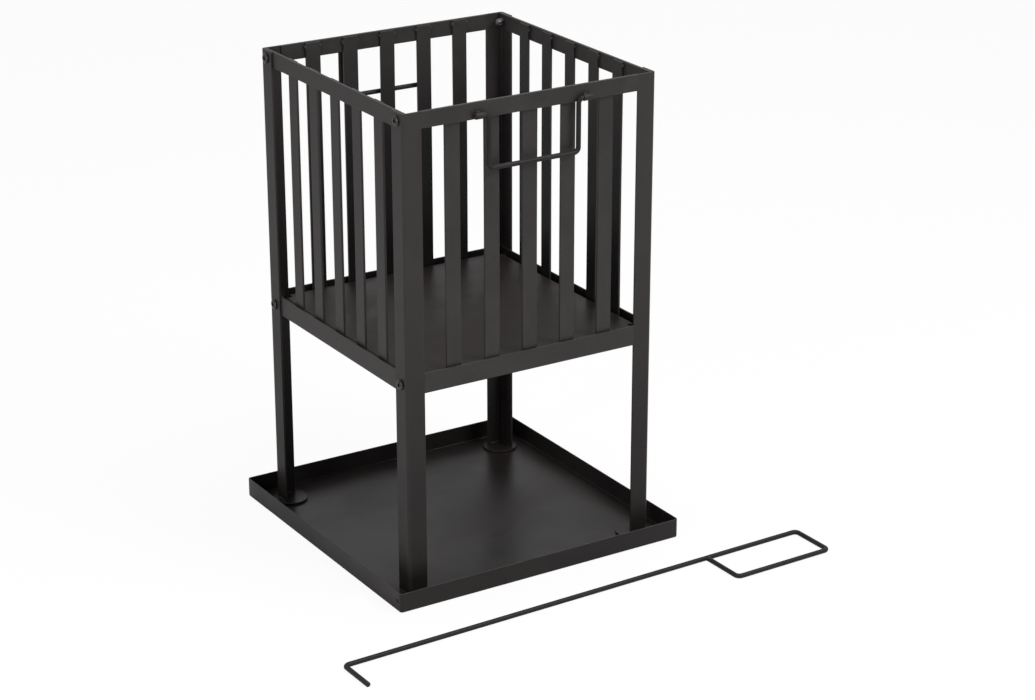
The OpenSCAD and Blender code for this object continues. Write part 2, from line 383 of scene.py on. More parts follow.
def newGroup(name, vectors, numbers, output):
    # A node group with these vector inputs, number inputs and one number put out.
    group = bpy.data.node_groups.new(name, "ShaderNodeTree")
    addSocket = group.interface.new_socket
    for label in vectors:
        addSocket(name=label, in_out="INPUT", socket_type="NodeSocketVector")
    for label, value in numbers.items():
        socket = addSocket(name=label, in_out="INPUT", socket_type="NodeSocketFloat")
        socket.default_value = value
    addSocket(name=output, in_out="OUTPUT", socket_type="NodeSocketFloat")
    return group, group.nodes.new("NodeGroupInput"), group.nodes.new("NodeGroupOutput")


def peelGroup(slowScale=0.16):
    # The pebbled skin of a powder coat: fine lumps on slower ones.
    numbers = {"Grain": 900.0, "Slow Share": 0.6}
    group, given, result = newGroup("orangePeel", ["Vector"], numbers, "Height")
    place, grain = given.outputs["Vector"], given.outputs["Grain"]
    fine = addNoise(group, place, grain, Detail=2.0, Roughness=0.45)
    slow = addNoise(group, place, addMath(group, "MULTIPLY", grain, slowScale),
                    Detail=1.0, Roughness=0.4)
    lumps = addMath(group, "MULTIPLY", slow, given.outputs["Slow Share"])
    feed(group, result.inputs["Height"], addMath(group, "ADD", fine, lumps))
    return group


def cloudGroup(fineScale=31.0, spread=(0.28, 0.72)):
    # Slow clouds with a faint fine speckle, as a mask from 0 to 1.
    numbers = {"Size": 18.0, "Speckle": 0.2}
    group, given, result = newGroup("coatClouds", ["Vector"], numbers, "Mask")
    place, size = given.outputs["Vector"], given.outputs["Size"]
    slow = addNoise(group, place, size, Detail=3.0, Roughness=0.55, Distortion=0.4)
    fine = addNoise(group, place, addMath(group, "MULTIPLY", size, fineScale),
                    Detail=2.0, Roughness=0.6)
    clouds = addRange(group, slow, spread, shape="SMOOTHSTEP")
    centred = addMath(group, "SUBTRACT", fine, 0.5)
    speckle = addMath(group, "MULTIPLY", centred, given.outputs["Speckle"])
    feed(group, result.inputs["Mask"], addMath(group, "ADD", clouds, speckle, clamp=True))
    return group


def sheenWearEdgeGroup(patchScale=70.0, patches=(0.3, 0.62), least=0.35):
    # Painted highlight on rounded edges, together with the coat lying thin there: the piece's own
    # edge mask, broken up by noise.
    group, given, result = newGroup("sheenWearEdges", ["Vector"], {"Amount": 0.5}, "Mask")
    own = addNode(group, "ShaderNodeAttribute", {"attribute_name": "edge"}).outputs["Fac"]
    noise = addNoise(group, given.outputs["Vector"], patchScale, Detail=3.0, Roughness=0.6)
    sheenWorn = addMath(group, "MULTIPLY", own, addRange(group, noise, patches, (least, 1.0)))
    mask = addMath(group, "MULTIPLY", sheenWorn, given.outputs["Amount"], clamp=True)
    feed(group, result.inputs["Mask"], mask)
    return group


def paintedShadeGroup(inward=(-0.14, -0.16), shaded=(0.59, 0.46)):
    # Painted shade on faces that look in at the basket's axis: the place, without its height,
    # times the normal is below zero there. The painted shade grows between the two heights of
    # shaded, in metres, going down.
    group, given, result = newGroup(
        "paintedInsideShade", ["Vector", "Normal"], {"Amount": 0.8}, "Mask")
    place = given.outputs["Vector"]
    level = addNode(group, "ShaderNodeVectorMath", {"operation": "MULTIPLY"})
    facing = addNode(group, "ShaderNodeVectorMath", {"operation": "DOT_PRODUCT"})
    feed(group, level.inputs[0], place)
    feed(group, level.inputs[1], (1.0, 1.0, 0.0))
    feed(group, facing.inputs[0], level.outputs["Vector"])
    feed(group, facing.inputs[1], given.outputs["Normal"])
    height = addNode(group, "ShaderNodeSeparateXYZ", Vector=place).outputs["Z"]
    insideShade = addRange(group, facing.outputs["Value"], inward)
    both = addMath(group, "MULTIPLY", insideShade, addRange(group, height, shaded))
    mask = addMath(group, "MULTIPLY", both, given.outputs["Amount"], clamp=True)
    feed(group, result.inputs["Mask"], mask)
    return group


orangePeel, coatClouds = peelGroup(), cloudGroup()
sheenWearEdges, paintedInsideShade = sheenWearEdgeGroup(), paintedShadeGroup()


def makeFinish(look):
    # Clouds mix the two tones and the two roughnesses, and rounded edges mix in their lighter edge
    # tone, partly a painted highlight and partly thin coat.
    # A coat has its pebbled skin as a bump, and may have painted light that grows paler upwards or
    # painted shade on faces inside the basket.
    material = bpy.data.materials.new(look["name"])
    material.use_nodes = True
    tree = material.node_tree
    shader = tree.nodes["Principled BSDF"]
    shader.inputs["Metallic"].default_value = look["metal"]
    shader.inputs["Specular IOR Level"].default_value = look["gloss"]
    shader.inputs["IOR"].default_value = 1.5
    coordinates = addNode(tree, "ShaderNodeTexCoord").outputs
    place = coordinates["Object"]
    shift = addNode(tree, "ShaderNodeMapping", Vector=place, Location=look["shift"])
    shifted = shift.outputs["Vector"]
    clouds = addNode(tree, "ShaderNodeGroup", {"node_tree": coatClouds}, Vector=shifted,
                     Size=look["cloudSize"], Speckle=look["speckle"]).outputs["Mask"]
    sheenWearShare = addNode(tree, "ShaderNodeGroup", {"node_tree": sheenWearEdges}, Vector=shifted,
                   Amount=look["sheenWearShare"]).outputs["Mask"]
    colour = addMix(tree, clouds, look["dark"], look["light"])
    # Painted light: a tint added with height, so the colour grows paler upwards.
    if "paler" in look:
        height = addNode(tree, "ShaderNodeSeparateXYZ", Vector=place).outputs["Z"]
        share = addRange(tree, height, look["palerFrom"])
        colour = addMix(tree, share, colour, look["paler"], "ADD")
    # Painted shade: faces inside the basket are darkened, more so lower down.
    if "insideShade" in look:
        insideShade = addNode(tree, "ShaderNodeGroup", {"node_tree": paintedInsideShade}, Vector=place,
                         Normal=coordinates["Normal"], Amount=look["insideShade"])
        colour = addMix(tree, insideShade.outputs["Mask"], colour, (0.0, 0.0, 0.0))
    feed(tree, shader.inputs["Base Color"], addMix(tree, sheenWearShare, colour, look["edge"]))
    feed(tree, shader.inputs["Roughness"], addRange(tree, clouds, leave=look["rough"]))
    if "grain" in look:
        peel = addNode(tree, "ShaderNodeGroup", {"node_tree": orangePeel}, Vector=place,
                       Grain=look["grain"])
        bump = addNode(tree, "ShaderNodeBump", Height=peel.outputs["Height"],
                       Strength=look["bump"], Distance=look["bumpDepth"])
        feed(tree, shader.inputs["Normal"], bump.outputs["Normal"])
    return material


coatBase = {"metal": 0.0, "bump": 0.35, "bumpDepth": 0.05 * mm}
metalBase = {"metal": 1.0, "gloss": 0.5, "sheenWearShare": 0.6, "speckle": 0.5, "shift": (0.0, 0.0, 0.0)}

frameCoat = makeFinish({
    **coatBase, "name": "satinBlackCoat", "gloss": 0.22, "rough": (0.42, 0.50),
    "dark": (0.0224, 0.0196, 0.0190), "light": (0.0298, 0.0262, 0.0254),
    "edge": (0.036, 0.033, 0.032), "sheenWearShare": 0.35, "insideShade": 0.8,
    "cloudSize": 22.0, "speckle": 0.35, "shift": (0.3, 0.1, 0.7), "grain": 850.0})
# The legs' coat is the frame's coat painted darker, as painted shade low down towards the tray;
# painted light added with height brings the upper legs back near the frame's tone, and faces
# inside get painted shade.
shadedLegCoat = makeFinish({
    **coatBase, "name": "satinBlackLegCoatShadedCopy", "gloss": 0.20, "rough": (0.42, 0.50),
    "dark": (0.0113, 0.0094, 0.0089), "light": (0.0152, 0.0127, 0.0120),
    "edge": (0.034, 0.031, 0.030), "sheenWearShare": 0.35, "insideShade": 0.5,
    "paler": (0.0135, 0.0125, 0.0122), "palerFrom": (0.12, 0.42),    # heights in metres
    "cloudSize": 20.0, "speckle": 0.35, "shift": (0.5, 0.2, 0.3), "grain": 850.0})
trayCoat = makeFinish({
    **coatBase, "name": "satinBlackTrayCoat", "gloss": 0.24, "rough": (0.30, 0.44),
    "dark": (0.0075, 0.0055, 0.0053), "light": (0.0128, 0.0097, 0.0093),
    "edge": (0.040, 0.037, 0.036), "sheenWearShare": 0.55,
    "cloudSize": 9.0, "speckle": 0.25, "shift": (0.8, 0.4, 0.2), "grain": 700.0})
plateCoat = makeFinish({
    **coatBase, "name": "satinBlackPlateCoat", "gloss": 0.13, "rough": (0.36, 0.50),
    "dark": (0.0122, 0.0086, 0.0081), "light": (0.0187, 0.0138, 0.0131),
    "edge": (0.040, 0.037, 0.036), "sheenWearShare": 0.55,
    "cloudSize": 13.0, "speckle": 0.25, "shift": (0.2, 0.6, 0.9), "grain": 700.0})
rodCoat = makeFinish({
    **coatBase, "name": "satinBlackRodCoat", "gloss": 0.18, "rough": (0.46, 0.54),
    "dark": (0.0112, 0.0094, 0.0089), "light": (0.0152, 0.0127, 0.0120),
    "edge": (0.030, 0.027, 0.026), "sheenWearShare": 0.4,
    "cloudSize": 30.0, "speckle": 0.35, "shift": (0.1, 0.9, 0.5),
    "grain": 950.0, "bump": 0.3, "bumpDepth": 0.04 * mm})
dullZinc = makeFinish({
    **metalBase, "name": "dullZinc", "rough": (0.36, 0.48),
    "dark": (0.055, 0.055, 0.057), "light": (0.090, 0.090, 0.092),
    "edge": (0.12, 0.12, 0.12), "cloudSize": 160.0})
boltMetal = makeFinish({
    **metalBase, "name": "blackenedBolt", "rough": (0.22, 0.32),
    "dark": (0.045, 0.042, 0.041), "light": (0.068, 0.064, 0.062),
    "edge": (0.10, 0.096, 0.094), "cloudSize": 130.0})
print("materials made")

legLook = {"thick": 2.5 * mm, "bend": 1.0 * mm, "cut": 0.45 * mm, "endRound": 0.3 * mm,
           "spacing": 24 * mm, "bow": (0.15 * mm, 0.1 * mm)}


def legPlace(corner):
    # The leg's outer corner at its foot, and its signs along X and Y: the right and the back
    # legs are mirrored.
    low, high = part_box("leg_" + corner)
    signX = -1.0 if "right" in corner else 1.0
    signY = -1.0 if "back" in corner else 1.0
    x, y = (low.x if signX > 0 else high.x), (low.y if signY > 0 else high.y)
    return np.array([x, y, low.z]), signX, signY


for corner in corners:
    low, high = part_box("leg_" + corner)
    origin, signX, signY = legPlace(corner)
    section = angleOutline(high.x - low.x, high.y - low.y, legLook["thick"], legLook["bend"],
                           legLook["cut"])
    shell = barShell(section, high.z - low.z, legLook["endRound"], legLook["spacing"],
                     legLook["bow"], endSheenWear=0.0)
    shell = placeShell(shell, origin, [(signX, 0, 0), (0, signY, 0), up])
    makeSkin("leg_" + corner, shell, shadedLegCoat)
print("legs made")

railLook = {"cut": 0.55 * mm, "bow": 0.12 * mm, "weldedEnd": 0.06 * mm, "boltedEnd": 0.5 * mm,
            "lowThick": 2.0 * mm, "lowBend": 1.0 * mm, "lowCut": 0.4 * mm, "lowBow": 0.1 * mm,
            "spacing": 20 * mm}
sideAxes = {    # along the side and towards the inside
    "front": ((1, 0, 0), (0, 1, 0)), "back": ((1, 0, 0), (0, -1, 0)),
    "left": ((0, 1, 0), (1, 0, 0)), "right": ((0, 1, 0), (-1, 0, 0))}


def sideFrame(node):
    # For a rail or bar: the low end of its outer lower edge, the axes along its side and
    # inwards, and its size along, inwards and up.
    side = next(s for s in sides if s in node)
    along, inwards = np.array(sideAxes[side], float)
    low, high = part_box(node)
    size = np.array(high - low)
    origin = np.where(inwards < 0, high, low)
    return origin, along, inwards, (size @ along, size @ abs(inwards), size[2])


for side in sides:
    end = railLook["weldedEnd" if side in ("front", "back") else "boltedEnd"]
    for node in ("top_rail_" + side, "low_rail_" + side):
        origin, along, inwards, (length, deep, tall) = sideFrame(node)
        if node.startswith("top"):
            section, bow = flatOutline(deep, tall, railLook["cut"]), railLook["bow"]
        else:
            section, bow = angleOutline(deep, tall, railLook["lowThick"], railLook["lowBend"],
                                        railLook["lowCut"]), railLook["lowBow"]
        shell = barShell(section, length, end, railLook["spacing"], (bow, 0.0))
        makeSkin(node, placeShell(shell, origin, [inwards, up, along]), frameCoat)
print("rails made")

barLook = {"cut": 0.6 * mm, "endRound": 0.3 * mm, "endSheenWear": 0.15, "bow": 0.45 * mm,
           "spacing": 22 * mm}
barNodes = [n for n in sorted(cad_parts) if n.startswith("bar_")]
for number, node in enumerate(barNodes):    # each one bows its own way
    origin, along, inwards, (wide, thick, tall) = sideFrame(node)
    bow = barLook["bow"] * np.array([0.5 * math.sin(2.3 * number), math.cos(1.7 * number)])
    shell = barShell(flatOutline(wide, thick, barLook["cut"]), tall, barLook["endRound"],
                     barLook["spacing"], bow, endSheenWear=barLook["endSheenWear"])
    makeSkin(node, placeShell(shell, origin, [along, inwards, up]), frameCoat)
print("bars made:", len(barNodes))

footLook = {"cut": 0.35 * mm, "support": 0.2 * mm, "around": 72}
for corner in corners:
    low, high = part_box("foot_" + corner)
    radius, tall, cut = (high.x - low.x) / 2, high.z - low.z, footLook["cut"]
    rimR, rimZ = easedRim(radius, tall, cut, 6)
    flatR = [0.0, 0.5 * radius, radius - cut - footLook["support"]]
    shell = latheShell(np.concatenate([flatR, rimR, flatR[::-1]]),
                       np.concatenate([[0.0] * 3, rimZ, [tall] * 3]),
                       around=footLook["around"], caps=False)
    shell = placeShell(shell, ((low.x + high.x) / 2, (low.y + high.y) / 2, low.z))
    makeSkin("foot_" + corner, shell, trayCoat)
print("feet made")

trayLook = {
    "thick": 1.5 * mm, "corner": 4.0 * mm, "leastCorner": 0.3 * mm,
    "fold": 2.2 * mm, "foldInside": 0.6 * mm, "rim": 0.5 * mm, "swell": 0.45 * mm,
    "foldSupport": 0.4 * mm, "rimSupport": 0.3 * mm, "floorSupport": 0.5 * mm,
    "cornerSteps": 8, "sideSteps": 26, "floorRows": 26,
    "underShares": (0.002, 0.2, 0.4, 0.6, 0.8, 0.93),    # of the half width
    "holeRadius": 2.25 * mm, "holeInset": 6.5 * mm, "holeDrop": 11 * mm,
    # The plug that cuts the hanging hole: radii in shares of the hole's, and mm from the face.
    "plugRadii": (0.0, 2.2, 1.22, 1.0, 1.0, 1.22, 2.2, 0.0),
    "plugPlaces": (-3.2, -3.2, -0.15, 0.25, 1.25, 1.65, 4.5, 4.5),
}


def squareLoop(half, radius, cornerSteps, sideSteps):
    # A square loop with rounded corners: each corner is its centre plus radius times the
    # direction of the angle, and the sides are straight shares between the corners.
    radius = min(radius, 0.98 * half)
    sine, cosine = quarterArc(radius, cornerSteps + 1)
    arc = half - radius + np.stack([cosine, sine], axis=1)
    share = np.linspace(0, 1, sideSteps + 1)[1:-1, None]
    loop = []
    for quarter in range(4):
        c, s = math.cos(quarter * math.pi / 2), math.sin(quarter * math.pi / 2)
        turn = np.array([[c, s], [-s, c]])
        cornerArc = arc @ turn
        following = np.array([radius - half, half]) @ turn
        loop += [cornerArc, cornerArc[-1] + (following - cornerArc[-1]) * share]
    return np.vstack(loop)


def trayShell(half, height, look):
    # Rows run from the middle of the underside outwards, up the wall, over the rim, down inside
    # and back to the middle of the floor. Each row is a square loop at its own half width, and
    # the floor is lifted by slow waves that fade out towards the walls.
    t, fold, inner, rim = (look[key] for key in ("thick", "fold", "foldInside", "rim"))
    foldSine, foldCosine = quarterArc(fold, 6)
    rimSine, rimCosine = quarterArc(rim, 6)
    innerSine, innerCosine = quarterArc(inner, 6)
    wallTop, support = height - rim - look["rimSupport"], look["foldSupport"]
    reach = half - t - inner - look["floorSupport"]
    parts = [    # half widths, heights, and edge sheen and wear
        (half * np.array(look["underShares"]), 0.0, 0.0),
        ([half - fold - support], 0.0, 0.0),
        (half - fold + foldSine, fold - foldCosine, 0.0),
        ([half] * 5, np.linspace(fold + support, wallTop, 5), 0.0),
        (half - rim + rimCosine, height - rim + rimSine, 1.0),
        (half - t + rim - rimSine, height - rim + rimCosine, 1.0),
        ([half - t] * 5, np.linspace(wallTop, t + inner + support, 5), 0.0),
        (half - t - inner + innerCosine, t + inner - innerSine, 0.0),
        (reach * np.linspace(1, 0.002, look["floorRows"]), t, 0.0)]
    widths, heights, sheenWear = (np.concatenate([np.broadcast_to(part[i], len(part[0]))
                                             for part in parts]) for i in range(3))
    loops = np.stack([squareLoop(w, max(look["corner"] - (half - w), look["leastCorner"]),
                                 look["cornerSteps"], look["sideSteps"]) for w in widths])
    x, y = loops[..., 0] / reach, loops[..., 1] / reach
    window = (np.clip(1 - x ** 2, 0, 1) * np.clip(1 - y ** 2, 0, 1)) ** 1.5
    waves = (0.55 + 0.3 * np.sin(2.6 * x + 0.9) * np.cos(2.1 * y - 0.4)
             + 0.15 * np.sin(5.2 * y + 1.3 * x))
    isFloor = np.arange(len(widths)) >= len(widths) - look["floorRows"]
    z = heights[:, None] + isFloor[:, None] * look["swell"] * window * waves
    return shellFromRings(np.concatenate([loops, z[..., None]], axis=2), sheenWear[:, None])


low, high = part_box("ash_tray")
shell = trayShell((high.x - low.x) / 2, high.z - low.z, trayLook)
tray = makeSkin("ash_tray", shell, trayCoat, "tray")

# The hanging hole is cut with a waisted plug, so that both of its rims are eased.
plug = latheShell(trayLook["holeRadius"] * np.array(trayLook["plugRadii"]),
                  np.array(trayLook["plugPlaces"]) * mm, caps=False)
plug = placeShell(plug, (low.x, low.y + trayLook["holeInset"], high.z - trayLook["holeDrop"]),
                  [(0, 1, 0), (0, 0, 1), (1, 0, 0)])
cutter = makePiece("holeCutter", plug, trayCoat, "tray")
cut = tray.modifiers.new("hangingHole", "BOOLEAN")
cut.operation, cut.solver, cut.object = "DIFFERENCE", "EXACT", cutter
applyModifiers(tray)
bpy.data.objects.remove(cutter)
print("ash tray made")

plateLook = {"thick": 1.5 * mm, "fold": 2.2 * mm, "notch": 10 * mm, "swell": 0.35 * mm,
             "cut": 0.25 * mm, "cutAngle": 50, "support": 0.3 * mm, "steps": 16, "bendSheenWear": 0.35}


def foldedLine(half, skirt, look):
    # Places across the sheet and how far each has dropped: flat, a quarter circle, then
    # straight down.
    notch, fold, support = look["notch"], look["fold"], look["support"]
    sine, cosine = quarterArc(fold, 7)
    inner = np.linspace(0, half - notch, look["steps"])
    outer = np.linspace(half - notch, half - fold - support, 4)[1:]
    place = np.concatenate([inner, outer, half - fold + sine, np.full(3, half)])
    drop = np.concatenate([np.zeros(len(inner) + len(outer)), fold - cosine,
                           np.linspace(fold + support, skirt, 3)])
    return np.concatenate([-place[:0:-1], place]), np.concatenate([drop[:0:-1], drop])


def plateShell(look):
    # A grid of two folded lines, whose drops add up. Faces in the four corners are left out,
    # and the flat part sags by slow waves that fade out towards the folds.
    low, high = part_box("fire_plate")
    halfX, halfY = (high.x - low.x) / 2, (high.y - low.y) / 2
    x, dropX = foldedLine(halfX, high.z - low.z, look)
    y, dropY = foldedLine(halfY, high.z - low.z, look)
    gridX, gridY = np.meshgrid(x, y, indexing="ij")
    window = (np.clip(1 - (gridX / halfX) ** 2, 0, 1)
              * np.clip(1 - (gridY / halfY) ** 2, 0, 1)) ** 0.8
    waves = (0.6 * np.sin(19 * gridX + 6 * gridY + 0.5) * np.cos(15 * gridY - 1.1)
             + 0.4 * np.sin(43 * gridY + 21 * gridX))
    sag = look["swell"] * window * (0.5 + 0.5 * waves)
    height = high.z - dropX[:, None] - dropY[None, :] - sag
    points = np.stack([gridX, gridY, height], axis=-1)
    index = np.arange(height.size).reshape(height.shape)
    quads = np.stack([index[:-1, :-1], index[1:, :-1], index[1:, 1:], index[:-1, 1:]], axis=-1)
    beyondX = np.abs((x[:-1] + x[1:]) / 2) > halfX - look["notch"]
    beyondY = np.abs((y[:-1] + y[1:]) / 2) > halfY - look["notch"]
    keep = ~(beyondX[:, None] & beyondY[None, :])
    bendX, bendY = ((drop > 0) & (drop < look["fold"]) for drop in (dropX, dropY))
    sheenWear = look["bendSheenWear"] * (bendX[:, None] | bendY[None, :])
    used = np.unique(quads[keep])
    renumber = np.zeros(index.size, int)
    renumber[used] = np.arange(len(used))
    return {"points": points.reshape(-1, 3)[used], "quads": renumber[quads[keep]].reshape(-1, 4),
            "caps": [], "edge": sheenWear.reshape(-1)[used]}


plate = makeSkin("fire_plate", plateShell(plateLook), plateCoat, "plate", 180)
if sum(p.normal.z for p in plate.data.polygons) < 0:
    plate.data.flip_normals()
wall = plate.modifiers.new("sheet", "SOLIDIFY")
wall.thickness, wall.offset, wall.use_even_offset = plateLook["thick"], -1.0, True
ease = plate.modifiers.new("easedCuts", "BEVEL")
ease.width, ease.segments, ease.limit_method = plateLook["cut"], 2, "ANGLE"
ease.angle_limit = math.radians(plateLook["cutAngle"])
applyModifiers(plate)
print("fire plate made")

handleLook = {"armSpacing": 122 * mm, "bend": 6 * mm, "chamfer": 0.5 * mm, "spacing": 7 * mm}
arm = handleLook["armSpacing"] / 2
for side, sideSign in (("front", -1.0), ("back", 1.0)):
    low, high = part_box("handle_" + side)
    radius = (high.y - low.y) / 2
    y, top, grip = (low.y + high.y) / 2, high.z - radius, low.z + radius
    route = [(low.x, y, top), (-arm, y, top), (-arm, y, grip),
             (arm, y, grip), (arm, y, top), (high.x, y, top)]
    shell = rodShell(route, handleLook["bend"], (0, sideSign, 0), radius, handleLook["chamfer"],
                     spacing=handleLook["spacing"])
    makeSkin("handle_" + side, shell, rodCoat, side + "_handle")

sleeveLook = {"bore": 3.1 * mm, "ease": 0.35 * mm, "boreSheenWear": 0.6}
for corner in corners:
    low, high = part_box("sleeve_" + corner)
    bore, length, sheenWear = sleeveLook["bore"], high.x - low.x, sleeveLook["boreSheenWear"]
    rimR, rimX = easedRim((high.y - low.y) / 2, length, sleeveLook["ease"], 4)
    shell = latheShell(np.concatenate([[bore], rimR, [bore] * 2]),
                       np.concatenate([[0.0], rimX, [length, length / 2]]), closed=True,
                       edge=np.concatenate([[sheenWear], np.ones(len(rimR)), [sheenWear, 0.0]]))
    shell = placeShell(shell, (low.x, (low.y + high.y) / 2, (low.z + high.z) / 2),
                       [(0, 1, 0), (0, 0, 1), (1, 0, 0)])
    makeSkin("sleeve_" + corner, shell, rodCoat, "basket")
print("handles and sleeves made")

pokerLook = {
    "length": 659 * mm, "rod": 6 * mm, "bend": 6 * mm, "chamfer": 0.4 * mm, "hook": 57 * mm,
    "loopLength": 146 * mm, "loopWidth": 69 * mm, "loopEnd": -0.6,    # of the rod's radius
    "line": -277 * mm, "turn": 1.1,    # where it lies, and how many degrees it is turned
    # The weld that closes the loop: radii in shares of the rod's, and mm along the loop's end.
    "weldRadii": (0.86, 1.06, 1.16, 1.24, 1.2, 0.9), "weldDrop": 0.4 * mm, "weldFlat": 0.78,
    "weldPlaces": (-3.1, -2.0, -1.0, 0.2, 1.3, 2.4),
}
radius = pokerLook["rod"] / 2
left, right = radius - pokerLook["length"] / 2, pokerLook["length"] / 2 - radius
far = -(pokerLook["loopWidth"] - pokerLook["rod"])
turn = math.radians(pokerLook["turn"])
turned = [(math.cos(turn), math.sin(turn), 0), (-math.sin(turn), math.cos(turn), 0), up]
loopStart = right - pokerLook["loopLength"] + pokerLook["rod"]
route = [(left, radius - pokerLook["hook"], 0), (left, 0, 0), (right, 0, 0), (right, far, 0),
         (loopStart, far, 0), (loopStart, pokerLook["loopEnd"] * radius, 0)]
shell = rodShell(route, pokerLook["bend"], up, radius, pokerLook["chamfer"])
weld = latheShell(radius * np.array(pokerLook["weldRadii"]),
                  np.array(pokerLook["weldPlaces"]) * mm, around=30)
weld = placeShell(weld, (loopStart, -radius - pokerLook["weldDrop"], 0),
                  [(1, 0, 0), (0, 0, pokerLook["weldFlat"]), (0, 1, 0)])
shell = placeShell(joinShells([shell, weld]), (0, pokerLook["line"], radius))
makeSkin("poker", placeShell(shell, (0, 0, 0), turned), rodCoat, "poker")
print("poker made")

boltLook = {
    "head": 6.5 * mm, "height": 3.25 * mm, "crown": 2.9 * mm, "undercut": 1.3 * mm,
    "socket": 2.3 * mm, "socketDepth": 2.1 * mm, "rimEase": 0.15 * mm, "seatInset": 1.5 * mm,
    "shank": 3.0 * mm, "length": 12 * mm, "pitch": 1.0 * mm, "threadDepth": 0.55 * mm,
    "face": 172 * mm,    # the legs' outer face, which the heads seat on
    "threadFrom": 5 * mm, "threadEnd": 0.8 * mm, "threadSteps": 7, "around": 42,
    # The socket's floor, in shares of its hexagon, and its mouth, in mm outside it; then mm of
    # depth and the share of edge sheen and wear. The tip is in mm inside the shank and mm before
    # the end.
    "floorRows": ((0.0, 0.5, 0.0), (0.5, 0.2, 0.0), (0.97, 0.0, 0.0), (1.0, -0.15, 0.0)),
    "mouthRows": ((0.0, 0.45, 0.3), (0.12, 0.12, 1.0), (0.35, 0.0, 1.0)),
    "tipRows": ((0.75, 0.1, 0.5), (0.95, 0.0, 0.3)),
}
nutLook = {
    "across": 5.0 * mm, "thick": 5.0 * mm, "height": 12 * mm, "dome": 4.75 * mm,
    "coneStart": 0.05 * mm, "coneSlope": 1.7, "cornerReach": 0.55 * mm,
    "bore": 3.05 * mm, "boreEase": 0.35 * mm, "boreDepth": 0.4 * mm,
    "seatTop": 165.5 * mm, "seatLow": 167.5 * mm, "around": 48,
    "sideRows": ((0.0, 1.0), (0.024, 0.8), (0.06, 0.3), (0.1, 0.0), (0.5, 0.0), (0.9, 0.0),
                 (0.94, 0.3), (0.976, 0.8), (1.0, 1.0)),    # share of the thickness, and of edge sheen and wear
    "neckRows": ((0.1, 0.05), (0.0, 0.25)),    # mm outside the dome and above the hexagon
}


def hexRadius(apothem, angle):
    # The distance to the side of a hexagon in each direction.
    return apothem / np.cos((angle + math.pi / 6) % (math.pi / 3) - math.pi / 6)


def boltShell(look):
    # One closed surface of turns round the axis: the socket's floor and walls, the crown,
    # the underside of the head, then the thread, whose radius follows height minus turn.
    angle = fullTurn(look["around"])
    hexagon = hexRadius(look["socket"], angle)
    head, shank, length, start = (look[key] for key in ("head", "shank", "length", "crown"))
    top, floor = -look["height"], look["socketDepth"] - look["height"]
    rows = [(share * hexagon, floor + deep * mm, sheenWear) for share, deep, sheenWear in look["floorRows"]]
    rows += [(hexagon + out * mm, top + deep * mm, sheenWear) for out, deep, sheenWear in look["mouthRows"]]
    rows += [(0.5 * (start + look["socket"]) + 0.25 * mm, top, 0.4)]    # on the flat top
    sine, cosine = quarterArc(1.0, 9)
    rows += zip(start + (head - start) * sine,
                top + (look["height"] - look["undercut"]) * (1 - cosine),
                [0.0] * 7 + [0.3, 0.5])
    rows += [(head - look["rimEase"], -0.8 * look["undercut"], 0.3),
             (head - look["seatInset"], 0.0, 0.0), (shank, 0.0, 0.0),
             (shank, look["threadFrom"] - 0.2 * mm, 0.0)]
    step = look["pitch"] / look["threadSteps"]
    z = np.arange(look["threadFrom"], length - look["threadEnd"], step)
    wave = (z[:, None] / look["pitch"] - angle[None, :] / (2 * math.pi)) % 1
    groove = np.clip(1.25 - np.abs(2 * wave - 1) * 1.5, 0, 1)    # sloped sides, flat bottom
    rows += zip(shank - look["threadDepth"] * groove, z, [0.4] * len(z))
    rows += [(shank - inset * mm, length - back * mm, sheenWear)
             for inset, back, sheenWear in look["tipRows"]]
    return turnedShell(rows + [(0.0, length, 0.0)], look["around"])


def nutShell(look):
    # A cap nut: a hexagon whose corners are cut by a cone, a short neck, then a dome whose
    # radius falls as the cosine while its height grows as the sine.
    apothem, tall, dome, bore = (look[key] for key in ("across", "thick", "dome", "bore"))
    hexagon = hexRadius(apothem, fullTurn(look["around"]))
    rows = [(0.0, tall, 0.0), (bore, tall, 0.0), (bore, look["boreDepth"], 0.0),
            (bore + look["boreEase"], 0.0, 0.8)]
    for share, sheenWear in look["sideRows"]:
        z = share * tall
        cone = apothem + look["coneStart"] + look["coneSlope"] * min(z, tall - z)
        rows.append((np.minimum(hexagon, min(cone, apothem + look["cornerReach"])), z, sheenWear))
    rows += [(dome + out * mm, tall + above * mm, 0.0) for out, above in look["neckRows"]]
    sine, cosine = quarterArc(dome, 12)
    rows += zip(cosine, look["height"] - dome + sine, [0.0] * 12)
    return turnedShell(rows, look["around"])


low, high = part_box("panel_bolts")
boltY = high.y - boltLook["head"]
boltZ = (low.z + boltLook["head"], high.z - boltLook["head"])
bolt, nut = boltShell(boltLook), nutShell(nutLook)
bolts, nuts = [], []
for number, (signX, signY, level) in enumerate(product((-1.0, 1.0), (-1.0, 1.0), (0, 1))):
    spin = 0.7 + 1.9 * number    # no two bolts are turned alike
    c, s = math.cos(spin), math.sin(spin)
    inwards = (-signX, 0, 0)
    bolts.append(placeShell(bolt, (signX * boltLook["face"], signY * boltY, boltZ[level]),
                            [(0, c, s), (0, -s, c), inwards]))
    seat = nutLook["seatTop" if level else "seatLow"]
    nuts.append(placeShell(nut, (signX * seat, signY * boltY, boltZ[level]),
                           [(0, 1, 0), (0, 0, 1), inwards]))
makeSkin("panel_bolts", joinShells(bolts), boltMetal)
makeSkin("panel_nuts", joinShells(nuts), dullZinc, smoothAngle=35)
print("bolts and nuts made")

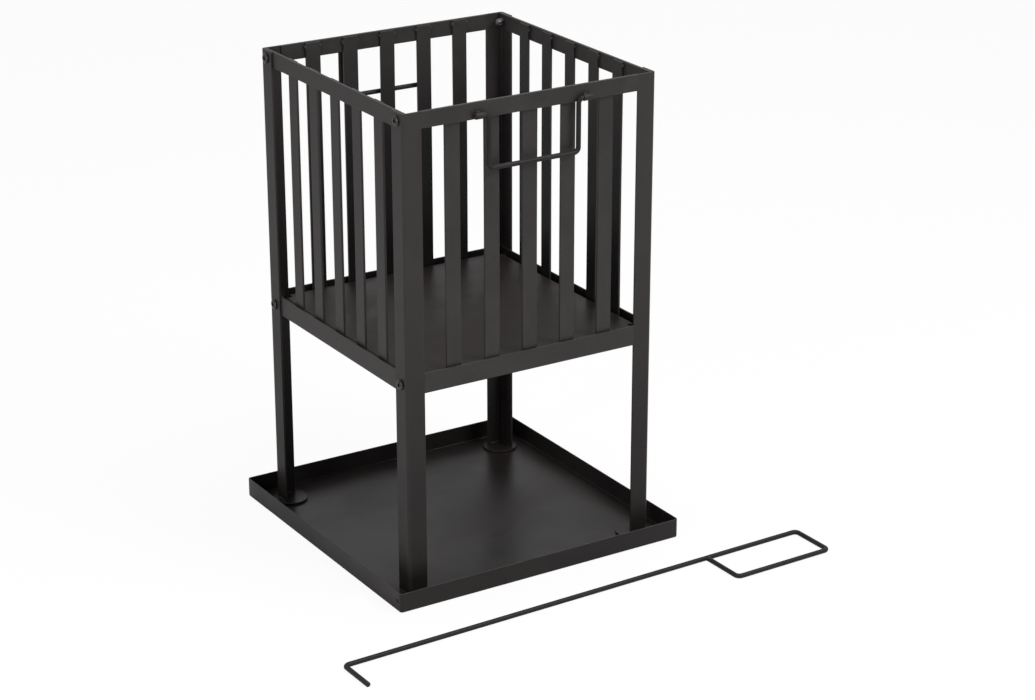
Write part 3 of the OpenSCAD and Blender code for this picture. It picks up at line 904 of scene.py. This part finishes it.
weldLook = {"bar": 2.3 * mm, "barLength": 4.0 * mm, "barTop": 1.8 * mm, "barSpread": 1.6 * mm,
            "toe": 0.8 * mm, "toeMargin": 3 * mm, "lift": 0.2 * mm,
            "tack": 1.1 * mm, "tackLength": 5 * mm, "tackStand": 0.5 * mm, "tackDrop": 0.6 * mm,
            "seam": 0.55 * mm, "seamMargin": 1.2 * mm, "seamInset": 0.35 * mm,
            "foot": 1.1 * mm, "footFrom": 5 * mm, "footTo": 22 * mm}
beads = []
for number, node in enumerate(barNodes):
    # A short bead up each side of a bar at its top, and one across its foot.
    origin, along, inwards, (wide, thick, tall) = sideFrame(node)
    for end in (0, 1):
        length = weldLook["barLength"] * (1 + 0.25 * math.sin(2.1 * number + 1.3 * end))
        spread = weldLook["barSpread"] * (0.5 + 0.5 * math.sin(1.1 * number + end))
        bottom = origin + along * wide * end + inwards * 0.5 * weldLook["bar"]
        bottom = bottom + up * (tall - length - weldLook["barTop"] - spread)
        beads.append(weldBead(bottom, bottom + up * length, weldLook["bar"], number + 3 * end))
    toe = origin + inwards * (thick + weldLook["lift"]) + up * weldLook["lift"]
    beads.append(weldBead(toe + along * weldLook["toeMargin"],
                          toe + along * (wide - weldLook["toeMargin"]),
                          weldLook["toe"], number + 5))
makePiece("bar_welds", joinShells(beads), frameCoat, "basket")

beads = []
outerFaces = {    # the welded rails' outer face, and which way along Y is inwards
    "front": (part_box("top_rail_front")[0].y, 1), "back": (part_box("top_rail_back")[1].y, -1)}
for number, corner in enumerate(corners):
    # One tack above each sleeve, where it meets the rail.
    low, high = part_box("sleeve_" + corner)
    face, inwards = outerFaces[corner.split("_")[0]]
    centre = np.array([(low.x + high.x) / 2, face - inwards * weldLook["tackStand"],
                       high.z - weldLook["tackDrop"]])
    half = np.array([weldLook["tackLength"] / 2, 0, 0])
    beads.append(weldBead(centre - half, centre + half, weldLook["tack"], number))
for side, (face, inwards) in outerFaces.items():
    # A seam at each end of the welded rails, on their outer face.
    for rail in ("top_rail_", "low_rail_"):
        low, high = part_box(rail + side)
        bottom, top = low.z + weldLook["seamMargin"], high.z - weldLook["seamMargin"]
        y = face + inwards * weldLook["seamInset"]
        for x in (low.x, high.x):
            beads.append(weldBead((x, y, bottom), (x, y, top), weldLook["seam"], 9 * x))
for number, corner in enumerate(corners):
    # Beads round the foot of each leg, outside and inside its two flanges.
    origin, signX, signY = legPlace(corner)
    for turn, depth in enumerate((0.0, legLook["thick"])):
        for flange in (0, 1):
            start, end = (origin + (signX * (depth if flange else reach),
                                    signY * (reach if flange else depth), weldLook["lift"])
                          for reach in (weldLook["footFrom"], weldLook["footTo"]))
            beads.append(weldBead(start, end, weldLook["foot"], number + 4 * turn + 2 * flange))
makePiece("frame_welds", joinShells(beads), frameCoat, "basket")
print("welds made")

studioLook = {
    "floorSize": 40.0, "floorColour": (0.88, 0.88, 0.88), "shadowShare": 0.08,
    "worldLight": 0.46, "worldGloss": 0.8, "aim": (0.0, 0.0, 0.3),
    "lamps": (    # name, place, size in metres and power in watts
        ("keySoftbox", (0.95, -1.6, 2.15), 1.1, 40.0),
        ("topSoftbox", (0.4, 0.2, 3.6), 2.6, 40.0),
        ("glintLamp", (-2.25, -0.8, 1.1), 0.6, 16.0)),
}


def seenShare(tree, viewShare, glossShare=0.0):
    # viewShare where the camera or glass looks, glossShare where a gloss looks, and 0 for the
    # light that falls on the object.
    path = addNode(tree, "ShaderNodeLightPath").outputs
    seen = addMath(tree, "MAXIMUM", path["Is Camera Ray"], path["Is Transmission Ray"])
    seen = addMath(tree, "MULTIPLY", seen, viewShare)
    if not glossShare:
        return seen
    return addMath(tree, "ADD", seen, addMath(tree, "MULTIPLY", path["Is Glossy Ray"], glossShare))


def makeFloor(look):
    half = look["floorSize"] / 2
    mesh = bpy.data.meshes.new("floor")
    mesh.from_pydata([(-half, -half, 0), (half, -half, 0), (half, half, 0), (-half, half, 0)],
                     [], [(0, 1, 2, 3)])
    floor = addObject("floor", mesh)
    material = bpy.data.materials.new("paleFloor")
    material.use_nodes = True
    tree = material.node_tree
    tree.nodes.clear()
    matte = addNode(tree, "ShaderNodeBsdfDiffuse", Color=(*look["floorColour"], 1))
    bright = addNode(tree, "ShaderNodeEmission", Color=(1, 1, 1, 1), Strength=1.0)
    mix = addNode(tree, "ShaderNodeMixShader")
    feed(tree, mix.inputs[0], seenShare(tree, 1 - look["shadowShare"]))
    feed(tree, mix.inputs[1], matte.outputs[0])
    feed(tree, mix.inputs[2], bright.outputs[0])
    addNode(tree, "ShaderNodeOutputMaterial", Surface=mix.outputs[0])
    mesh.materials.append(material)


def makeWorld(look):
    world = bpy.data.worlds.new("paleStudio")
    bpy.context.scene.world = world
    world.use_nodes = True
    tree = world.node_tree
    background = tree.nodes["Background"]
    background.inputs["Color"].default_value = (1, 1, 1, 1)
    extra = seenShare(tree, 1 - look["worldLight"], look["worldGloss"] - look["worldLight"])
    feed(tree, background.inputs["Strength"], addMath(tree, "ADD", extra, look["worldLight"]))


def addSoftbox(name, place, size, power, aim):
    data = bpy.data.lights.new(name, "AREA")
    data.shape, data.size, data.energy = "SQUARE", size, power
    lamp = addObject(name, data)
    lamp.location = place
    aimAlong(lamp, Vector(aim) - Vector(place))


makeFloor(studioLook)
makeWorld(studioLook)
for name, place, size, power in studioLook["lamps"]:
    addSoftbox(name, place, size, power, studioLook["aim"])
bpy.context.scene.view_settings.view_transform = "Standard"
print("studio made")
